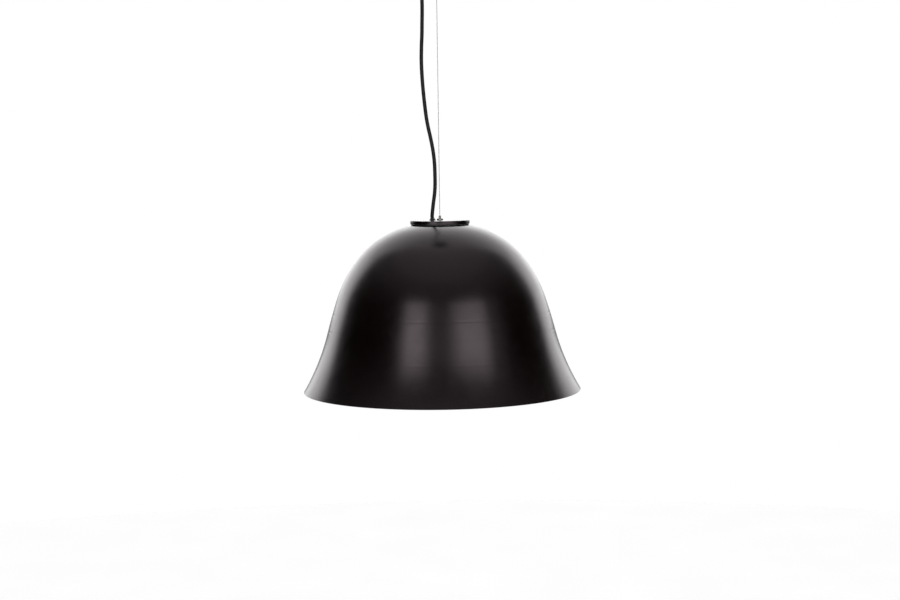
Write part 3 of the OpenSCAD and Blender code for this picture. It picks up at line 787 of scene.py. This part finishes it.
def make_supply_cores():
    """Brown, green-yellow and blue cores from the cord's end to the terminal block."""
    terminal_pitch = 7
    colours = [("brown", SLOTS["core_insulation"]), ("earth", CORE_EARTH), ("blue", CORE_BLUE)]
    for k, (colour, material) in zip((-1, 0, 1), colours):
        x = terminal_pitch * k
        start = (CORD_X + 1.5 * k, 1.3 if k == 0 else -0.9, CANOPY_RIM + 11.4)
        route = [
            start, (start[0], start[1], start[2] + 2),
            (start[0] + 2 + 2 * k, start[1] + 4, start[2] + 4 - k),
            (-14 + 3 * k, 11 - 2 * k, TERMINAL_Z - 2 - k), (x - 3, 13 - k, TERMINAL_Z - 0.4),
            (x, 15.4, TERMINAL_Z), (x, 18, TERMINAL_Z),
        ]
        make_lead("supply_core_" + colour, [Vector(point) * MM for point in route], 0.7,
                  Vector((1, -0.6, 0.4)), material, "ceiling_mount", "supply_leads")


def make_holder_cores():
    """Brown and blue cores from the cord's end to the lampholder's terminals."""
    cord_end = BRACKET_FLOOR - 7
    deck = SLEEVE_TOP + 12.3
    for side, colour, material in ((1, "brown", SLOTS["core_insulation"]), (-1, "blue", CORE_BLUE)):
        route = [
            (side * 1.5, 0, cord_end - 0.3), (side * 1.5, 0, cord_end - 3),
            (side * 2, -0.6, cord_end - 5.4), (side * 5, -4, deck + 1.3),
            (side * 8.4, -4.9, deck), (side * 9, -3.6, deck), (side * 9, -1, deck),
        ]
        make_lead("holder_core_" + colour, [over_cap(*point) for point in route], 0.75,
                  Vector((side, 0.45, 0.1)), material, "lamp", "holder_leads")


# ---------------------------------------------------------------- gripper, holder and bulb

def make_spring():
    """A coil of five turns with its ends closed."""
    turns = 5
    steps_a_turn = 40
    coil_r = 2.1
    wire_r = 0.25 * MM
    closed = 0.8
    end_pitch = 0.5
    rise = SPRING_HIGH - SPRING_LOW
    open_pitch = (rise - 2 * closed * end_pitch) / (turns - 2 * closed)
    route = []
    for k in range(steps_a_turn * turns + 1):
        t = k / steps_a_turn
        height = SPRING_LOW + end_pitch * min(t, closed)
        height += open_pitch * max(0, min(t, turns - closed) - closed)
        height += end_pitch * max(0, t - turns + closed)
        a = 2 * math.pi * t
        route.append(over_cap(coil_r * math.cos(a), coil_r * math.sin(a), height))
    bm = bmesh.new()
    skin(bm, tube_rings(route, wire_r, 10, Vector((0, 0, 1))))
    piece = add_piece("gripper_coil", bm, [SLOTS["wire_steel"]],
                      covers=["gripper_spring"], sharp=60)
    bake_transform(piece)


def thread_wave(height, a, low, high):
    """-1 in the root and 1 on the crest of a right-hand thread that fades in and out."""
    fade = max(0.0, min(1.0, (height - low) / THREAD_PITCH, (high - height) / THREAD_PITCH))
    return fade * math.cos(2 * math.pi * height / THREAD_PITCH - a)


def make_threaded_shell(name, walls, low, high, depth, material, body, cad_node):
    """Sheet metal rolled to a thread. walls is its closed outline as (radius, height), in mm."""
    rings = []
    for radius, height in walls:
        ring = []
        for k in range(SHELL_SIDES):
            a = 2 * math.pi * k / SHELL_SIDES
            r = radius + depth / 2 * thread_wave(height, a, low, high)
            ring.append(over_cap(r * math.cos(a), r * math.sin(a), height))
        rings.append(ring)
    bm = bmesh.new()
    skin(bm, rings, closed_loop=True)
    add_piece(name, bm, [material], body=body, covers=[cad_node], sharp=60)


def levels(low, high):
    """Evenly spaced heights, close enough to draw the thread."""
    last = THREAD_LEVELS - 1
    return [low + (high - low) * k / last for k in range(THREAD_LEVELS)]


def make_bulb_cap():
    """The bulb's screw cap."""
    low, high = BULB_TOP - 24.5, BULB_TOP - 3.4
    outside = [(12.72, height) for height in levels(low, high)]
    top = [(12.6, BULB_TOP - 2.4), (12.2, BULB_TOP - 1.9), (11.6, BULB_TOP - 1.6), (9, BULB_TOP - 1.6)]
    under = [(9, BULB_TOP - 2), (11.6, BULB_TOP - 2), (12, BULB_TOP - 2.5)]
    inside = [(12.4, height) for height in reversed(levels(low, high))]
    make_threaded_shell("bulb_screw_cap", outside + top + under + inside, low, high, 0.74,
                        SLOTS["nickel"], "bulb", "bulb_cap")


def make_screw_shell():
    """The lampholder's screw shell, which the bulb's cap screws into."""
    low, high = SLEEVE_TOP - 22, SLEEVE_TOP - 0.9
    inside = [(13.45, height) for height in levels(low, high)]
    top = [(13.4, SLEEVE_TOP - 0.6), (11, SLEEVE_TOP - 0.6), (11, SLEEVE_TOP), (13.7, SLEEVE_TOP)]
    outside = [(13.79, height) for height in reversed(levels(low, high))]
    make_threaded_shell("holder_screw_shell", inside + top + outside, low, high, 0.4,
                        SLOTS["brass"], "lamp", "screw_shell")


def main():
    make_camera()
    make_power_cord()
    make_wire()
    make_cap()
    make_shade()
    make_sheathed_ends()
    make_supply_cores()
    make_holder_cores()
    make_spring()
    make_bulb_cap()
    make_screw_shell()
    dress_frame()
    make_world()
    make_lights()
    make_floor()


main()
